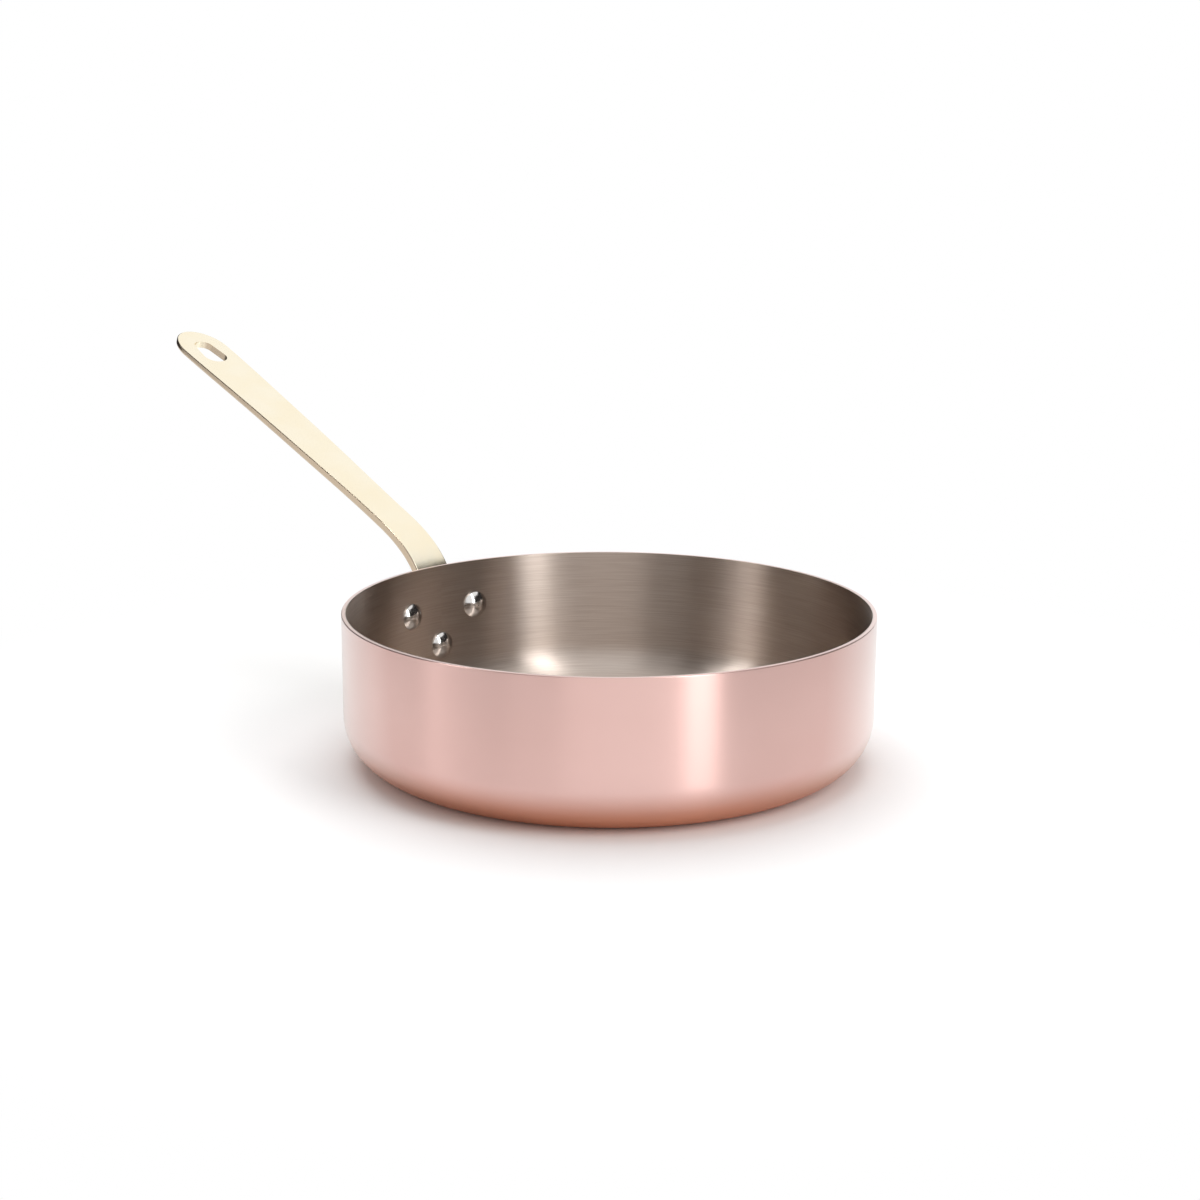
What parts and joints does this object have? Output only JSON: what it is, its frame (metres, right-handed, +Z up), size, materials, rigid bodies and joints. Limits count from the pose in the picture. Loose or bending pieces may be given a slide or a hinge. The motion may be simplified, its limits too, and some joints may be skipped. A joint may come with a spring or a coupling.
{
  "type": "saute pan",
  "caption": "Straight-walled copper pan with a stainless lining and a long riveted brass handle that has a hanging slot.",
  "frame": {"origin": "centre of the base's underside", "axes": "+Z up through the open rim, the handle points along -X"},
  "size_m": [0.4544, 0.24, 0.166],
  "materials": {
    "copper": "copper, satin, brushed round the body",
    "lining": "stainless, brushed round the body",
    "handle": "cast brass, satin polished",
    "rivets": "polished stainless"
  },
  "bodies": {
    "root": {"copper_shell": "copper", "steel_lining": "lining", "handle": "handle", "rivets": "rivets"}
  },
  "joints": []
}
